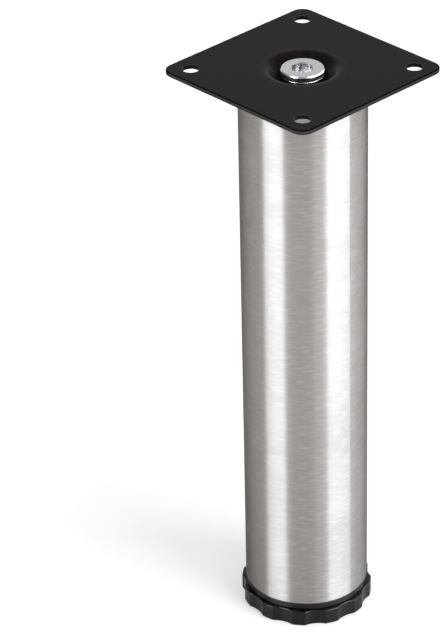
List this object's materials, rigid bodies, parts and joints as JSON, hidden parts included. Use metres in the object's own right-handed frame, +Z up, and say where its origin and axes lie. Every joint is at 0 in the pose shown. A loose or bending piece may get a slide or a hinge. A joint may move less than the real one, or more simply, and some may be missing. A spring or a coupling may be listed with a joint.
{
  "type": "adjustable furniture leg",
  "caption": "Round brushed steel furniture leg with a square screw-on plate above and a scalloped plastic foot that screws out to level it.",
  "frame": {"origin": "centre of the foot's underside, on the floor, with the foot screwed right in", "axes": "+Z up along the tube; the mounting plate's sides lie along X and Y"},
  "size_m": [0.0764, 0.0764, 0.2412],
  "materials": {
    "plate_coating": "semi-matt black powder coat",
    "washer_zinc": "bright zinc plate",
    "bolt_zinc": "turned, zinc plate",
    "inner_steel": "plain steel",
    "tube_steel": "fine brushing round the tube",
    "plug_plastic": "moulded",
    "foot_plastic": "moulded",
    "stud_zinc": "zinc plate"
  },
  "bodies": {
    "leg": {"mounting_plate": "plate_coating", "bolt_washer": "washer_zinc", "plate_bolt": "bolt_zinc", "end_disc": "inner_steel", "upper_nut": "inner_steel", "tube": "tube_steel", "bottom_plug": "plug_plastic", "lower_nut": "inner_steel"},
    "stud": {"foot_stud": "stud_zinc"},
    "foot": {"foot": "foot_plastic"}
  },
  "joints": [
    {"name": "foot_travel", "type": "slide", "parent": "leg", "child": "stud", "axis": [0, 0, -1], "range_m": [0, 0.02]},
    {"name": "foot_turn", "type": "hinge", "parent": "stud", "child": "foot", "pos_m": [0, 0, 0], "axis": [0, 0, -1], "range_deg": [0, 4800]}
  ],
  "couplings": [
    {"joint": "foot_travel", "follows": "foot_turn", "m_per_rad": 0.00023873}
  ]
}
